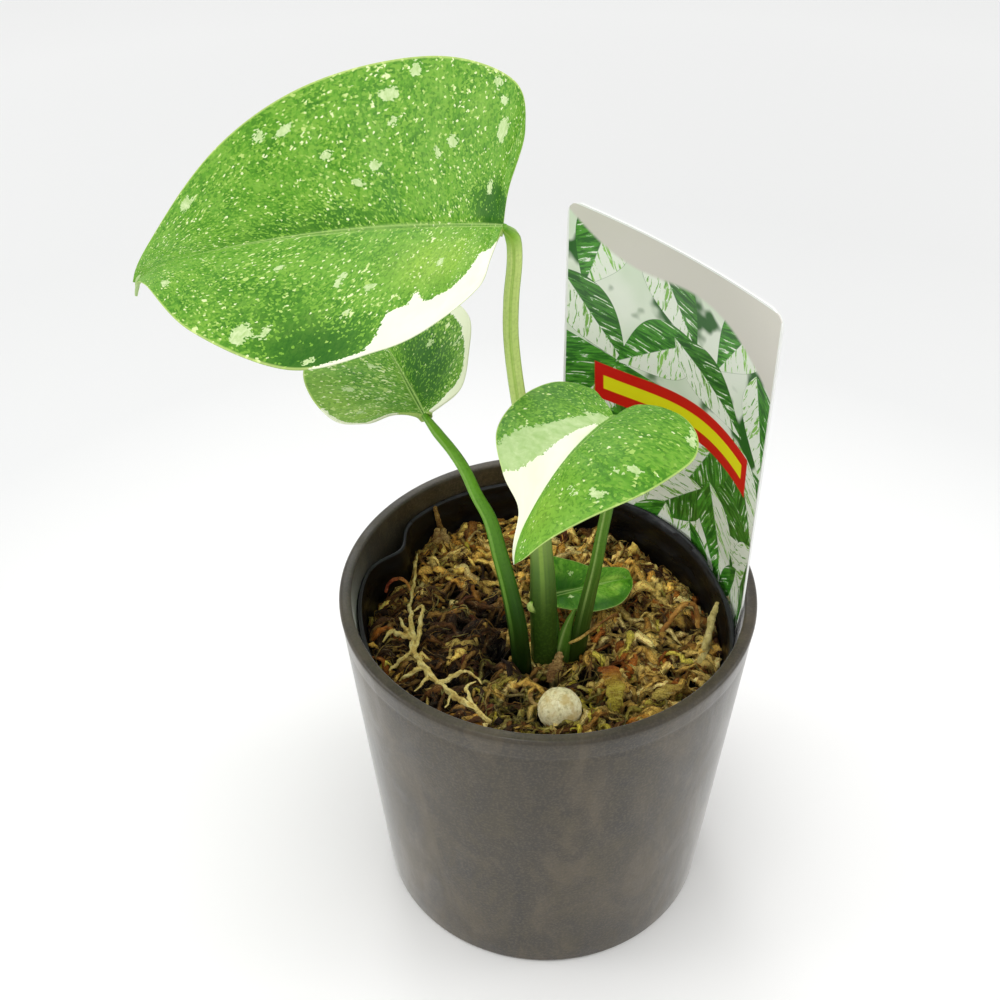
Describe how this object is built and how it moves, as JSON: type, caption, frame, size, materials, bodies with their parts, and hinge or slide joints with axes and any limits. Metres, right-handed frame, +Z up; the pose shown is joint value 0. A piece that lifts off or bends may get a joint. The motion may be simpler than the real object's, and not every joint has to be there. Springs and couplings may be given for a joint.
{
  "type": "potted thai constellation monstera",
  "caption": "Young variegated aroid house plant in moss, in a thin liner inside a tapered plastic pot, with a printed plant label standing at the back.",
  "frame": {"origin": "centre of the outer pot's flat bottom", "axes": "+Z up along the pot's axis, +Y away from the viewer of the picture, +X to the viewer's right"},
  "size_m": [0.1445, 0.1172, 0.2244],
  "materials": {
    "outer_pot": "satin, faintly marbled dark grey brown",
    "nursery_liner": "thin black film, semi-gloss",
    "growing_medium": "dry sphagnum moss strands, tan to dark brown",
    "rootstock": "matte buried stem and roots",
    "leaf": "satin leaf, green with cream flecks and sectors",
    "dry_root": "dry, matte, pale straw",
    "arch_root": "dry, matte, rusty brown",
    "twig": "dry, matte, greyish straw",
    "fertiliser_pellet": "matte, grainy, off-white",
    "plant_label": "printed card, satin"
  },
  "bodies": {
    "root": {"outer_pot": "outer_pot", "nursery_liner": "nursery_liner", "growing_medium": "growing_medium", "rootstock": "rootstock", "leaf_large": "leaf", "leaf_rear": "leaf", "leaf_front": "leaf", "leaf_young": "leaf", "dry_root": "dry_root", "arch_root": "arch_root", "twig": "twig", "fertiliser_pellet": "fertiliser_pellet", "plant_label": "plant_label"}
  },
  "joints": []
}
